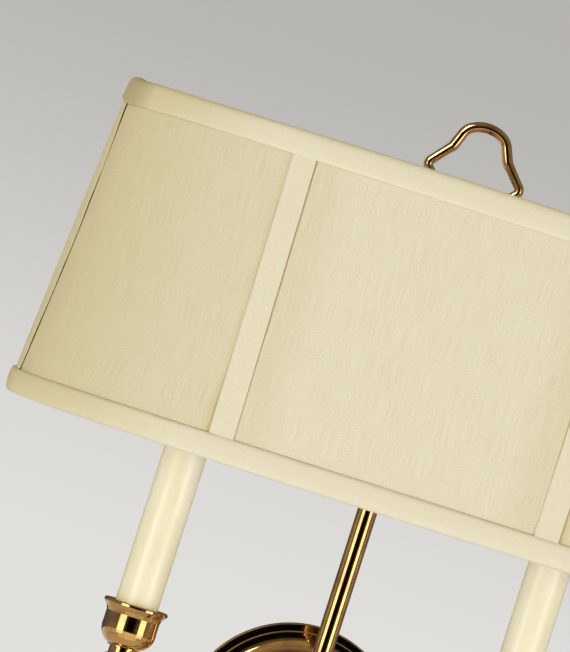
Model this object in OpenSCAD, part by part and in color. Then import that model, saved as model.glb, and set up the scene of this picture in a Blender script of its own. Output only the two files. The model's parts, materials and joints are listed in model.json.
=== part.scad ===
// Two-candle wall sconce with a half shade that is open to the wall and a wire loop on top.
// Millimetres, +Z up. The wall is the plane y = 0 and the room is on its -Y side.
// The origin is the centre of the back plate, on the wall.

/* [Shade] */
// distance between the two front ribs, centre to centre
rib_pitch = 171; // [164:1:178]
// radius of the rounded ends at the shade's bottom edge
end_radius = 104; // [102:0.5:106]
// how much smaller that radius is at the top edge
shade_taper = 13; // [10:0.5:16]
// height of the shade over its trims
shade_height = 170; // [165:1:175]
// height of the shade's bottom edge above the back plate's centre
shade_bottom = 142; // [138:1:146]
// gap between the shade's back edges and the wall
wall_gap = 5; // [4:0.5:6]
// width of the cloth trims and tapes
trim_width = 12.7; // [11:0.1:14]
// thickness of the shade cloth
cloth = 0.6; // [0.4:0.1:0.8]
// thickness of the folded trims
trim_cloth = 1; // [0.8:0.1:1.2]
// radius of the frame's wires
wire_radius = 1.4; // [1.1:0.1:1.6]

/* [Finial] */
// radius of the loop's flat round top, to the middle of the wire
loop_radius = 17; // [16:0.1:18]
// height of the loop above the shade's top edge, to the middle of the wire
loop_height = 29.9; // [28:0.1:32]
// radius of the wire at the top of the loop
loop_wire_top = 2.65; // [2.3:0.05:2.9]
// radius of the wire at the loop's feet
loop_wire_foot = 2.4; // [2.1:0.05:2.5]
// half the distance between the loop's feet, to the middle of the wire
loop_foot = 23.8; // [23.4:0.1:25]

/* [Stem and rod] */
// distance from the wall to the lamp's upright axis
axis_depth = 52; // [50:0.5:54]
// radius of the centre rod
rod_radius = 5.1; // [4.8:0.05:5.3]
// wall thickness of the rod
rod_wall = 1.8; // [1.4:0.1:2.2]
// radius of the tube between the back plate and the hub
stem_radius = 7.2; // [6.8:0.1:7.8]
// radius of the hub's ball
hub_radius = 16; // [15:0.5:17]

/* [Arms and candles] */
// distance between the two candles, centre to centre
candle_pitch = 192.6; // [185:0.1:199]
// radius of the arms' tubes
arm_radius = 4.8; // [4.4:0.1:5]
// radius of each arm's first bend
arm_bend = 25; // [23:0.5:27]
// outside radius of the candle sleeves
sleeve_radius = 11.1; // [10.9:0.1:11.5]
// length of the candle sleeves
sleeve_length = 127; // [122:1:132]
// radius of the candle cups' lips
lip_radius = 16.6; // [16:0.1:17.5]
// greatest radius of the bulbs
bulb_radius = 16.5; // [15.5:0.1:17.5]

/* [Back plate] */
// radius of the back plate's round ends
plate_radius = 57; // [55:0.5:59]
// distance between the centres of those ends
plate_length = 38; // [34:1:40]
// depth of the back plate
plate_depth = 14; // [13:0.5:15]
// distance between the strap's slots, centre to centre
slot_pitch = 88.9; // [86:0.1:92]
// length of each slot
slot_length = 14; // [12:0.5:16]
// radius of the slots' ends
slot_radius = 2.4; // [2.2:0.05:2.6]

/* [Hidden] */
$fn = 64;
fit = 0.05;
seam = 0.1;
shade_top = shade_bottom + shade_height;
half_ribs = rib_pitch / 2;
half_pitch = candle_pitch / 2;
// distances are measured from the cloth's outer face, outwards
sleeve_room = 0.3;
wire_depth = cloth + sleeve_room + wire_radius;
lining_out = wire_depth + wire_radius + sleeve_room;
lining_in = lining_out + 0.4;
tape_out = seam + 0.6;
trim_in = tape_out + 0.3;
trim_out = trim_in + trim_cloth;
hem = 9;
fold = 0.8;
cloth_low = shade_bottom + fold + seam;
cloth_high = shade_top - fold - seam;
ring_low = cloth_low + wire_radius + 0.2;
ring_high = cloth_high - wire_radius - 0.2;
tape_low = shade_bottom + 2;
tape_high = shade_top - 2;
back_radius = wire_radius * 1.15;
back_line = back_radius + 0.15;
// the seat, washer and boss that clamp the shade on the rod
bore_radius = rod_radius + fit;
washer_top = shade_top - 12.5;
washer_low = washer_top - 2;
seat_high = washer_low - fit;
seat_low = seat_high - 4.5;
rod_top = washer_top + 6.5;
boss_low = washer_top + fit;
loop_base = shade_top - 3;
// the arm's path in its own upright plane
arm_start = 10;
arm_up = 30;
arm_down = -45;
bend_x = arm_start + arm_bend * (sin(arm_up) - sin(arm_down));
bend_z = arm_bend * (cos(arm_down) - cos(arm_up));
rise_radius = (half_pitch - bend_x) / (1 - sin(arm_down));
arm_end = bend_z + rise_radius * cos(arm_down);
arm_bore = arm_radius - 1.4;
thread_radius = arm_radius + 0.2;
arm_hole = thread_radius + fit;
// heights on the candle's axis
cup_low = arm_end + 6.05;
cup_floor = cup_low + 14.5;
cup_lip = cup_low + 35;
nut_high = cup_floor + 3.6;
thread_top = nut_high + 5;
sleeve_low = cup_lip - 4 + fit;
sleeve_high = sleeve_low + sleeve_length;
sleeve_bore = sleeve_radius - 1.1;
socket_low = sleeve_high - 25;
socket_radius = sleeve_bore - 0.8;
shell_low = socket_low + 3 + fit;
contact_high = shell_low + 2.5;
shell_radius = 6.85;
base_radius = 6;
glass_low = sleeve_high + 2;
neck_height = 22;
glass_wide = glass_low + neck_height;
glass_neck = base_radius - 0.5;
bulb_height = 46;
// heights on the lamp's upright axis
hub_low = -24;
hub_high = 26;
rod_low = 14;
spigot_radius = 4.5;
spigot_length = 11;
// depths on the back plate's axis
plate_front = plate_depth - 1.5;
stud_pitch = 56;
stud_radius = 2.4;
screw_place = 16;
screw_radius = 2;
strap_thick = 1.6;
nipple_radius = 5;
nipple_hole = nipple_radius + fit;
flange_depth = plate_depth + 5;
stem_seat = axis_depth - 10;

brass = [0.72, 0.55, 0.25];
steel = [0.7, 0.71, 0.72];
linen = [0.89, 0.85, 0.73];
ivory = [0.95, 0.91, 0.8];
brown = [0.2, 0.14, 0.1];
white = [0.95, 0.94, 0.9];

// the lamp's upright axis, and the two candles' axes
module on_axis() {
    translate([0, -axis_depth, 0])
        children();
}

module at_candle(side) {
    translate([side * half_pitch, -axis_depth, 0])
        children();
}

// a turned piece on the back plate's axis, drawn as [radius, distance from the wall]
module off_wall() {
    rotate([90, 0, 0])
        rotate_extrude()
            children();
}

// a ring between two heights
module tube(outer, inner, low, high) {
    translate([0, 0, low])
        difference() {
            cylinder(r = outer, h = high - low);
            translate([0, 0, -1])
                cylinder(r = inner, h = high - low + 2);
        }
}

module wire_between(p, q, r) {
    d = q - p;
    translate(p)
        rotate([0, acos(d[2] / norm(d)), atan2(d[1], d[0])])
            cylinder(r = r, h = norm(d));
}

// The wall side

// carries an outline around the back plate's two round ends and along its straight sides
module oblong() {
    translate([0, 0, plate_length / 2])
        rotate([90, 0, 0])
            rotate_extrude(angle = 180)
                children();
    translate([0, 0, -plate_length / 2])
        rotate([90, 0, 0])
            rotate([0, 0, 180])
                rotate_extrude(angle = 180)
                    children();
    for (side = [0, 1])
        mirror([side, 0, 0])
            translate([0, 0, -plate_length / 2])
                linear_extrude(plate_length)
                    mirror([0, 1])
                        children();
}

module plate_outline() {
    step = plate_depth - 8;
    difference() {
        union() {
            polygon([[0, 0], [plate_radius, 0], [plate_radius, 2.6], [plate_radius - 0.8, 3.4],
                [plate_radius - 4, 3.4], [plate_radius - 4, step - 0.6],
                [plate_radius - 4.6, step], [0, step]]);
            difference() {
                translate([0, step - 1])
                    square([plate_radius - 6, plate_depth - step + 1]);
                translate([plate_radius - 6, plate_depth + 0.8])
                    circle(r = 8.3);
            }
        }
        polygon([[-1, -1], [plate_radius - 2, -1], [plate_radius - 2, 1.8], [plate_radius - 5.5, 1.8],
            [plate_radius - 5.5, step - 1.6], [plate_radius - 15.8, step - 1.6],
            [plate_radius - 15.8, plate_front], [-1, plate_front]]);
    }
}

module back_plate() {
    color(brass)
        difference() {
            oblong()
                intersection() {
                    plate_outline();
                    translate([0, -1])
                        square([plate_radius + 1, plate_depth + 2]);
                }
            rotate([90, 0, 0])
                cylinder(r = nipple_radius + 0.3, h = plate_depth + 5);
            for (side = [-1, 1])
                translate([0, 0, side * stud_pitch / 2])
                    rotate([90, 0, 0])
                        cylinder(r = stud_radius + 0.3, h = plate_depth + 5);
        }
}

module mounting_strap() {
    half = slot_pitch / 2 + slot_length / 2 + 6;
    color(steel)
        rotate([90, 0, 0])
            linear_extrude(strap_thick)
                difference() {
                    translate([-12, -half])
                        square([24, 2 * half]);
                    circle(r = 8);
                    for (side = [-1, 1]) {
                        translate([0, side * slot_pitch / 2]) {
                            translate([0, -slot_length / 2 + slot_radius])
                                circle(r = slot_radius);
                            translate([0, slot_length / 2 - slot_radius])
                                circle(r = slot_radius);
                            translate([-slot_radius, -slot_length / 2 + slot_radius])
                                square([2 * slot_radius, slot_length - 2 * slot_radius]);
                        }
                        translate([0, side * stud_pitch / 2])
                            circle(r = stud_radius + fit);
                    }
                    translate([0, screw_place])
                        circle(r = screw_radius + fit);
                }
}

module plate_studs() {
    color(brass)
        for (side = [-1, 1])
            translate([0, 0, side * stud_pitch / 2])
                rotate([90, 0, 0])
                    cylinder(r = stud_radius, h = plate_depth + 7);
}

module cap_nut(side) {
    color(brass)
        translate([0, -plate_depth - fit, side * stud_pitch / 2])
            rotate([90, 0, 0])
                difference() {
                    union() {
                        cylinder(r = 5.2, h = 1.6);
                        translate([0, 0, 1.6])
                            cylinder(r = 3.8, h = 1.6);
                        translate([0, 0, 6.6])
                            sphere(r = 5);
                    }
                    translate([0, 0, -1])
                        cylinder(r = stud_radius + fit, h = 8.4);
                }
}

module ground_screw() {
    color([0.2, 0.45, 0.25])
        translate([0, 0, screw_place])
            rotate([90, 0, 0])
                difference() {
                    union() {
                        cylinder(r = screw_radius, h = strap_thick + 1);
                        translate([0, 0, strap_thick + fit])
                            cylinder(r = 3.6, h = 2.4);
                    }
                    translate([-3, -0.5, strap_thick + 1.6])
                        cube([6, 1, 3]);
                }
}

module stem_nipple() {
    color(brass)
        off_wall()
            translate([nipple_radius - 1.7, 5])
                square([1.7, stem_seat + 3 - 5]);
}

module stem_nut() {
    color(steel)
        translate([0, -plate_front + fit + 3.6, 0])
            rotate([90, 0, 0])
                difference() {
                    cylinder(r = 9, h = 3.6, $fn = 6);
                    translate([0, 0, -1])
                        cylinder(r = nipple_hole, h = 6);
                }
}

module stem_flange() {
    color(brass)
        off_wall()
            difference() {
                union() {
                    translate([0, plate_depth + fit])
                        square([14, 2]);
                    translate([0, plate_depth + fit])
                        square([11.5, 3.4]);
                    translate([0, plate_depth + 1])
                        square([stem_radius + 1.6, flange_depth - plate_depth - 1]);
                }
                translate([-1, 0])
                    square([nipple_hole + 1, 60]);
            }
}

module stem_tube() {
    color(brass)
        off_wall()
            translate([nipple_hole, flange_depth + fit])
                square([stem_radius - nipple_hole, stem_seat - flange_depth - 2 * fit]);
}

// The hub, rod and arms

module hub() {
    color(brass)
        difference() {
            on_axis() {
                translate([0, 0, 2])
                    sphere(r = hub_radius);
                translate([0, 0, hub_low])
                    cylinder(r = 11, h = 2.6);
                translate([0, 0, hub_low + 2])
                    cylinder(r = 8.4, h = -hub_low - 2);
                cylinder(r = 9, h = hub_high);
                translate([0, 0, hub_high - 3])
                    rotate_extrude()
                        translate([9, 0])
                            circle(r = 1.8);
            }
            on_axis() {
                translate([0, 0, hub_low - 5])
                    cylinder(r = 3.5, h = hub_high - hub_low + 10);
                translate([0, 0, rod_low])
                    cylinder(r = bore_radius, h = hub_high - rod_low + 5);
                translate([0, 0, hub_low - 5])
                    cylinder(r = spigot_radius + fit, h = spigot_length + 6);
                rotate([0, 90, 0])
                    translate([0, 0, -arm_start])
                        cylinder(r = 3, h = 2 * arm_start);
            }
            first_bend(arm_radius + fit, 0);
            mirror([1, 0, 0])
                first_bend(arm_radius + fit, 0);
            translate([0, -stem_seat, 0])
                rotate([-90, 0, 0])
                    cylinder(r = stem_radius + fit, h = 20);
            translate([0, -axis_depth, 0])
                rotate([-90, 0, 0])
                    cylinder(r = nipple_hole, h = 20);
        }
}

module drop_finial() {
    color(brass)
        on_axis() {
            translate([0, 0, hub_low - fit])
                mirror([0, 0, 1]) {
                    translate([0, 0, -spigot_length])
                        cylinder(r = spigot_radius, h = spigot_length + 1);
                    cylinder(r = 8.6, h = 2);
                    cylinder(r = 5.2, h = 8);
                    translate([0, 0, 13.6])
                        sphere(r = 8.4);
                    translate([0, 0, 18])
                        cylinder(r1 = 5.6, r2 = 2.2, h = 8);
                    translate([0, 0, 27.4])
                        sphere(r = 3);
                }
        }
}

module rod_collar() {
    color(brass)
        on_axis()
            translate([0, 0, hub_high + fit])
                difference() {
                    union() {
                        cylinder(r = 10.6, h = 2.4);
                        translate([0, 0, 1])
                            cylinder(r1 = 9, r2 = rod_radius + 1.6, h = 8);
                        translate([0, 0, 9.6])
                            rotate_extrude()
                                translate([rod_radius + 0.9, 0])
                                    circle(r = 1.5);
                    }
                    translate([0, 0, -1])
                        cylinder(r = bore_radius, h = 20);
                }
}

module rod() {
    color(brass)
        on_axis()
            tube(rod_radius, rod_radius - rod_wall, rod_low + fit, rod_top);
}

module shade_seat() {
    color(brass)
        on_axis()
            difference() {
                translate([0, 0, seat_low])
                    cylinder(r = 9.2, h = seat_high - seat_low, $fn = 6);
                translate([0, 0, seat_low - 1])
                    cylinder(r = bore_radius, h = 10);
            }
}

// a bend in the arm's plane, around a centre, from one angle through another
module bend(centre, r, from, turn, outer, inner) {
    translate([centre[0], -axis_depth, centre[1]])
        rotate([90, 0, 0])
            rotate([0, 0, from])
                rotate_extrude(angle = turn)
                    translate([r, 0])
                        difference() {
                            circle(r = outer);
                            if (inner > 0)
                                circle(r = inner);
                        }
}

module first_bend(outer, inner) {
    bend([arm_start + arm_bend * sin(arm_up), -arm_bend * cos(arm_up)], arm_bend,
        90 + arm_down, arm_up - arm_down, outer, inner);
}

// two bent tubes, joined by a sleeve, with a threaded end under the candle
module arm(side) {
    color(brass)
        mirror([side < 0 ? 1 : 0, 0, 0]) {
            first_bend(arm_radius, arm_bore);
            bend([half_pitch - rise_radius, arm_end], rise_radius, 270 + arm_down, 90 - arm_down,
                arm_radius, arm_bore);
            translate([bend_x, -axis_depth, bend_z])
                rotate([0, 90 - arm_down, 0])
                    tube(arm_radius + 0.6, arm_bore - 0.2, -1.6, 1.6);
            translate([half_pitch, -axis_depth, 0])
                tube(thread_radius, arm_bore - 0.2, arm_end - 1, thread_top);
        }
}

module cup_seat(side) {
    color(brass)
        at_candle(side)
            difference() {
                union() {
                    translate([0, 0, arm_end])
                        cylinder(r1 = thread_radius + 1.2, r2 = 8.4, h = 4);
                    translate([0, 0, arm_end + 4])
                        cylinder(r = 8.4, h = 2);
                }
                translate([0, 0, arm_end - 1])
                    cylinder(r = arm_hole, h = 10);
            }
}

module cup(side) {
    wall = lip_radius - 2.7;
    color(brass)
        at_candle(side)
            translate([0, 0, cup_low])
                rotate_extrude()
                    difference() {
                        union() {
                            polygon([[0, 0], [7.4, 0], [8, 0.6], [8, 1.8], [7, 2.8], [6.8, 13], [0, 13]]);
                            translate([6.6, 6.2])
                                circle(r = 2.2);
                            intersection() {
                                translate([wall - 9.9, 22])
                                    circle(r = 10);
                                translate([0, 8])
                                    square([30, 20]);
                            }
                            translate([0, 12.4])
                                square([wall - 5.5, 5]);
                            translate([0, 21])
                                square([wall, 12]);
                            polygon([[0, 29], [wall, 29], [wall + 0.6, 31], [lip_radius - 0.5, 32.8],
                                [lip_radius, 33.4], [lip_radius, 34.4], [lip_radius - 0.6, 35], [0, 35]]);
                        }
                        translate([-1, -1])
                            square([arm_hole + 1, 20]);
                        translate([-1, cup_floor - cup_low])
                            square([10.2, 33 - cup_floor + cup_low]);
                        translate([-1, 31])
                            square([sleeve_radius + 1 + seam, 10]);
                    }
}

module cup_nut(side) {
    color(steel)
        at_candle(side)
            translate([0, 0, cup_floor + fit])
                difference() {
                    cylinder(r = 8.2, h = nut_high - cup_floor - fit, $fn = 6);
                    translate([0, 0, -1])
                        cylinder(r = arm_hole, h = 10);
                }
}

// the strip that holds the lamp holder at the top of its candle
module socket_bracket(side) {
    foot = nut_high + fit;
    color(steel)
        at_candle(side) {
            difference() {
                translate([0, 0, foot])
                    cylinder(r = 8.6, h = 1.6);
                translate([0, 0, foot - 1])
                    cylinder(r = arm_hole, h = 5);
                translate([7.2, -10, foot - 1])
                    cube([5, 20, 5]);
            }
            translate([6, -4, foot])
                cube([1.2, 8, socket_low - foot - fit]);
            translate([-4, -4, socket_low - fit - 1.2])
                cube([11, 8, 1.2]);
        }
}

module socket(side) {
    color(brown)
        at_candle(side)
            difference() {
                translate([0, 0, socket_low])
                    cylinder(r = socket_radius, h = sleeve_high - socket_low - 0.5);
                translate([0, 0, shell_low - fit])
                    cylinder(r = shell_radius + fit, h = 40);
            }
}

module screw_shell(side) {
    color(brass)
        at_candle(side)
            tube(shell_radius, shell_radius - 0.5, shell_low, sleeve_high - 1);
}

module contact(side) {
    color(brass)
        at_candle(side)
            translate([0, 0, shell_low])
                cylinder(r = 2.6, h = contact_high - shell_low);
}

module sleeve(side) {
    color(ivory)
        at_candle(side)
            tube(sleeve_radius, sleeve_bore, sleeve_low, sleeve_high);
}

module bulb_base(side) {
    tip = contact_high + 0.3;
    color(brass)
        at_candle(side)
            difference() {
                union() {
                    translate([0, 0, tip])
                        cylinder(r = 2.4, h = 2);
                    translate([0, 0, tip + 1])
                        cylinder(r1 = 3.4, r2 = base_radius, h = 2.6);
                    translate([0, 0, tip + 3.6])
                        cylinder(r = base_radius, h = glass_low - tip - 3.6);
                }
                translate([0, 0, tip + 8])
                    cylinder(r = base_radius - 0.4, h = 40);
            }
}

// the bulb's outline from its neck to its tip, drawn inwards by the glass's thickness where asked
function bulb_outline(shrink) = concat(
    [for (i = [0:9])
        [glass_neck - shrink + (bulb_radius - glass_neck) * (1 - cos(18 * i)) / 2,
            glass_low + fit + neck_height * i / 10]],
    [for (i = [0:17])
        [(bulb_radius - shrink) * pow(cos(5 * i), 0.9), glass_wide + (bulb_height - shrink) * i / 18]]);

module bulb_glass(side) {
    outer = bulb_outline(0);
    inner = bulb_outline(0.8);
    color(white)
        at_candle(side)
            rotate_extrude()
                polygon(concat(outer, [[0, glass_wide + bulb_height]], [[0, glass_wide + bulb_height - 0.8]],
                    [for (i = [len(inner) - 1:-1:0])
                        inner[i]]));
}

// The shade

// how far the cloth's outer face is from the centre of the rounded end, at a height
function face_at(z) = end_radius - shade_taper * (z - shade_bottom) / shade_height;

// these carry an outline, drawn as [distance from the end's centre, height], along the shade
module along_left() {
    translate([-half_ribs, -wall_gap, 0])
        rotate([0, 0, 180])
            rotate_extrude(angle = 90)
                children();
}

module along_centre() {
    translate([half_ribs, -wall_gap, 0])
        rotate([90, 0, -90])
            linear_extrude(rib_pitch)
                children();
}

module along_right() {
    translate([half_ribs, -wall_gap, 0])
        rotate([0, 0, -90])
            rotate_extrude(angle = 90)
                children();
}

// a slanted strip between two heights and two distances from the cloth's outer face
module strip(low, high, inner, outer) {
    polygon([[face_at(low) + inner, low], [face_at(low) + outer, low],
        [face_at(high) + outer, high], [face_at(high) + inner, high]]);
}

module cloth_outline() {
    strip(cloth_low, cloth_high, -cloth, 0);
}

module lining_outline() {
    strip(cloth_low, cloth_high, -lining_in, -lining_out);
}

// a band folded over the shade's edge; up is 1 at the bottom edge and -1 at the top edge
module trim_outline(edge, up) {
    leg = edge + up * trim_width;
    web = edge + up * fold;
    inside = edge + up * hem;
    back = -lining_in - seam;
    polygon([[face_at(leg) + trim_in, leg], [face_at(leg) + trim_out, leg],
        [face_at(edge) + trim_out, edge], [face_at(edge) + back - 0.5, edge],
        [face_at(inside) + back - 0.5, inside], [face_at(inside) + back, inside],
        [face_at(web) + back, web], [face_at(web) + trim_in, web]]);
}

module panel(side) {
    color(linen) {
        if (side < 0)
            along_left()
                cloth_outline();
        if (side == 0)
            along_centre()
                cloth_outline();
        if (side > 0)
            along_right()
                cloth_outline();
    }
}

module lining(side) {
    color(linen)
        difference() {
            union() {
                if (side < 0)
                    along_left()
                        lining_outline();
                if (side == 0)
                    along_centre()
                        lining_outline();
                if (side > 0)
                    along_right()
                        lining_outline();
            }
            spider_arms(0.3);
            back_rail(ring_low, 0.08);
            back_rail(ring_high, 0.08);
        }
}

module trim(edge, up) {
    color(linen)
        difference() {
            union() {
                along_left()
                    trim_outline(edge, up);
                along_centre()
                    trim_outline(edge, up);
                along_right()
                    trim_outline(edge, up);
            }
            spider_arms(0.3);
            back_rail(up > 0 ? ring_low : ring_high, 0.08);
        }
}

module tape_front(side) {
    color(linen)
        translate([side * half_ribs + trim_width / 2, -wall_gap, 0])
            rotate([90, 0, -90])
                linear_extrude(trim_width)
                    strip(tape_low, tape_high, seam, tape_out);
}

// the tape that wraps the shade's back edge from its outside to its inside
module tape_end(side) {
    turn = trim_width / end_radius * 57.3;
    back = -lining_in - seam;
    color(linen)
        mirror([side < 0 ? 1 : 0, 0, 0])
            translate([half_ribs, -wall_gap, 0]) {
                rotate([0, 0, -turn])
                    rotate_extrude(angle = turn)
                        strip(tape_low, tape_high, seam, tape_out);
                translate([0, 0.6, 0])
                    rotate([90, 0, 0])
                        linear_extrude(0.6)
                            strip(tape_low, tape_high, back - 0.5, tape_out);
                rotate([0, 0, -turn / 2])
                    rotate_extrude(angle = turn / 2)
                        strip(shade_bottom + hem + seam, shade_top - hem - seam, back - 0.5, back);
            }
}

// how far the frame's end wires stand in from the shade's back edge, as an angle
function end_angle(z) = asin(back_line / (face_at(z) - wire_depth));
function ring_stop(z) = asin((back_line + back_radius + 0.1) / (face_at(z) - wire_depth));

module ring(z) {
    r = face_at(z) - wire_depth;
    short = ring_stop(z);
    color(steel) {
        translate([-half_ribs, -wall_gap, z])
            rotate([0, 0, 180 + short])
                rotate_extrude(angle = 90 - short)
                    translate([r, 0])
                        circle(r = wire_radius);
        translate([half_ribs, -wall_gap, z])
            rotate([0, 0, -90])
                rotate_extrude(angle = 90 - short)
                    translate([r, 0])
                        circle(r = wire_radius);
        translate([-half_ribs, -wall_gap - r, z])
            rotate([0, 90, 0])
                cylinder(r = wire_radius, h = rib_pitch);
        for (side = [-1, 1])
            translate([side * half_ribs - 2, -wall_gap - r, z])
                rotate([0, 90, 0])
                    cylinder(r = wire_radius + 0.15, h = 4);
    }
}

// the straight wire that joins a ring's two ends, just short of both
module back_rail(z, extra) {
    reach = half_ribs + (face_at(z) - wire_depth) * cos(end_angle(z)) + wire_radius + extra;
    translate([-reach, -wall_gap - back_line, z])
        rotate([0, 90, 0])
            cylinder(r = back_radius + extra, h = 2 * reach);
}

module back_wire(z) {
    color(steel)
        back_rail(z, 0);
}

function rib_point(side, z, turn) = [side * (half_ribs + (face_at(z) - wire_depth) * sin(turn)),
    -wall_gap - (face_at(z) - wire_depth) * cos(turn), z];

module rib_front(side) {
    gap = wire_radius + 0.35;
    color(steel)
        wire_between(rib_point(side, ring_low + gap, 0), rib_point(side, ring_high - gap, 0), wire_radius);
}

module rib_end(side) {
    gap = back_radius + 0.2;
    color(steel)
        wire_between(rib_point(side, ring_low + gap, 90 - end_angle(ring_low)),
            rib_point(side, ring_high - gap, 90 - end_angle(ring_high)), wire_radius);
}

// one arm of the shade's carrier, from its washer to just short of a wire that runs left to right
module spider_arm(from, to, extra) {
    d = (to - from) / norm(to - from);
    arm_wire = wire_radius + 0.1;
    stop = (back_radius + seam + arm_wire * abs(d[0])) / sqrt(1 - d[0] * d[0]);
    wire_between(from, to - d * (stop - extra), arm_wire + extra);
}

module spider_arms(extra) {
    z = washer_low + 1;
    front = -wall_gap - face_at(ring_high) + wire_depth;
    spider_arm([0, -axis_depth - 8, z], [0, front, ring_high], extra);
    spider_arm([0, -axis_depth + 8, z], [0, -wall_gap - back_line, ring_high], extra);
    for (side = [-1, 1])
        spider_arm([side * 8, -axis_depth - 3, z], [side * half_ribs, front, ring_high], extra);
}

module spider() {
    color(steel)
        difference() {
            union() {
                on_axis()
                    translate([0, 0, washer_low])
                        cylinder(r = 12, h = 2);
                spider_arms(0);
            }
            on_axis() {
                translate([0, 0, washer_low - 3])
                    cylinder(r = bore_radius + fit, h = 10);
                translate([0, 0, washer_top])
                    cylinder(r = 10.4, h = 6);
                translate([0, 0, washer_low - 6])
                    cylinder(r = 10.4, h = 6);
            }
        }
}

// The loop

// where a bend ends that starts at a point with one heading and ends with another
function bent(p, r, from, to) = to > from
    ? [p[0] + r * (sin(to) - sin(from)), p[1] - r * (cos(to) - cos(from))]
    : [p[0] - r * (sin(to) - sin(from)), p[1] + r * (cos(to) - cos(from))];

// headings and radii along the loop's left half, from the middle of its top to its foot
loop_top = shade_top + loop_height;
top_turn = 210;
side_turn = 249;
leg_turn = 225;
foot_turn = 229;
under_turn = 315;
shoulder = loop_radius * 0.53;
side_run = 5.9;
neck = 5;
leg_radius = 40;
foot = 3.3;
ease = 4;
wire_neck = (loop_wire_top + loop_wire_foot) / 2;
arch_start = [0, loop_top];
shoulder_start = bent(arch_start, loop_radius, 180, top_turn);
side_start = bent(shoulder_start, shoulder, top_turn, side_turn);
neck_start = side_start + side_run * [cos(side_turn), sin(side_turn)];
leg_start = bent(neck_start, neck, side_turn, leg_turn);
leg_end = bent(leg_start, leg_radius, leg_turn, foot_turn);
foot_x = -loop_foot + foot * (1 + sin(foot_turn));
foot_start = leg_end + (leg_end[0] - foot_x) / -cos(foot_turn) * [cos(foot_turn), sin(foot_turn)];
under_start = bent(foot_start, foot, foot_turn, under_turn);
under_run = under_start[1] - loop_base - ease * (1 - cos(under_turn));
base_start = under_start + under_run * [1, -1];

// the steps of a bend from the first one asked for, with the wire's radius changing along it
function bend_steps(p, r, from, to, first, steps, thick, thin) = [for (i = [first:steps])
    let (at = bent(p, r, from, from + (to - from) * i / steps))
    [at[0], at[1], thick + (thin - thick) * i / steps]];

left_half = concat(
    bend_steps(arch_start, loop_radius, 180, top_turn, 0, 5, loop_wire_top, loop_wire_top - 0.1),
    bend_steps(shoulder_start, shoulder, top_turn, side_turn, 1, 7, loop_wire_top - 0.1, wire_neck + 0.1),
    bend_steps(neck_start, neck, side_turn, leg_turn, 0, 4, wire_neck + 0.1, loop_wire_foot + 0.1),
    bend_steps(leg_start, leg_radius, leg_turn, foot_turn, 1, 4, loop_wire_foot + 0.1, loop_wire_foot),
    bend_steps(foot_start, foot, foot_turn, under_turn, 0, 6, loop_wire_foot, loop_wire_foot),
    bend_steps(base_start, ease, under_turn, 360, 0, 3, loop_wire_foot, loop_wire_foot),
    [[-9, loop_base, loop_wire_foot], [-4, loop_base, loop_wire_foot]]);
last = len(left_half) - 1;
loop_path = concat(left_half, [[0, loop_base, loop_wire_foot]],
    [for (i = [last:-1:1])
        [-left_half[i][0], left_half[i][1], left_half[i][2]]]);

// a wire of changing radius swept round a closed path in the loop's plane
module wire_loop(path, sides) {
    n = len(path);
    points = [for (i = [0:n - 1])
        let (before = path[(i + n - 1) % n], after = path[(i + 1) % n],
            along = atan2(after[1] - before[1], after[0] - before[0]))
        for (k = [0:sides - 1])
            let (reach = path[i][2] * cos(360 * k / sides))
            [path[i][0] - reach * sin(along), path[i][2] * sin(360 * k / sides),
                path[i][1] + reach * cos(along)]];
    faces = [for (i = [0:n - 1])
        for (k = [0:sides - 1])
            let (a = i * sides + k, b = i * sides + (k + 1) % sides,
                c = (i + 1) % n * sides + (k + 1) % sides, d = (i + 1) % n * sides + k)
            for (face = [[a, b, c], [a, c, d]])
                face];
    polyhedron(points, faces, convexity = 6);
}

module loop_finial() {
    color(brass)
        on_axis()
            difference() {
                union() {
                    wire_loop(loop_path, 16);
                    translate([0, 0, boss_low])
                        cylinder(r = 8, h = 2);
                    translate([0, 0, boss_low + 1])
                        cylinder(r1 = 7.6, r2 = 6.6, h = 6.9);
                    translate([0, 0, boss_low + 7.9])
                        cylinder(r1 = 6.6, r2 = 3.4, h = 2.8);
                }
                translate([0, 0, boss_low - 5])
                    cylinder(r = bore_radius, h = rod_top + 0.2 - boss_low + 5);
            }
}

back_plate();
mounting_strap();
plate_studs();
cap_nut(1);  // cap_nut_upper
cap_nut(-1);  // cap_nut_lower
ground_screw();
stem_nipple();
stem_nut();
stem_flange();
stem_tube();
hub();
drop_finial();
rod_collar();
rod();
shade_seat();
arm(-1);  // arm_left
arm(1);  // arm_right
cup_seat(-1);  // cup_seat_left
cup_seat(1);  // cup_seat_right
cup(-1);  // cup_left
cup(1);  // cup_right
cup_nut(-1);  // cup_nut_left
cup_nut(1);  // cup_nut_right
socket_bracket(-1);  // socket_bracket_left
socket_bracket(1);  // socket_bracket_right
socket(-1);  // socket_left
socket(1);  // socket_right
screw_shell(-1);  // screw_shell_left
screw_shell(1);  // screw_shell_right
contact(-1);  // contact_left
contact(1);  // contact_right
sleeve(-1);  // sleeve_left
sleeve(1);  // sleeve_right
bulb_base(-1);  // bulb_base_left
bulb_base(1);  // bulb_base_right
bulb_glass(-1);  // bulb_glass_left
bulb_glass(1);  // bulb_glass_right
ring(ring_high);  // top_ring
ring(ring_low);  // bottom_ring
back_wire(ring_high);  // back_wire_top
back_wire(ring_low);  // back_wire_bottom
rib_front(-1);  // rib_front_left
rib_front(1);  // rib_front_right
rib_end(-1);  // rib_end_left
rib_end(1);  // rib_end_right
spider();
panel(-1);  // panel_left
panel(0);  // panel_centre
panel(1);  // panel_right
lining(-1);  // lining_left
lining(0);  // lining_centre
lining(1);  // lining_right
trim(shade_top, -1);  // top_trim
trim(shade_bottom, 1);  // bottom_trim
tape_front(-1);  // tape_front_left
tape_front(1);  // tape_front_right
tape_end(-1);  // tape_end_left
tape_end(1);  // tape_end_right
loop_finial();
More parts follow.
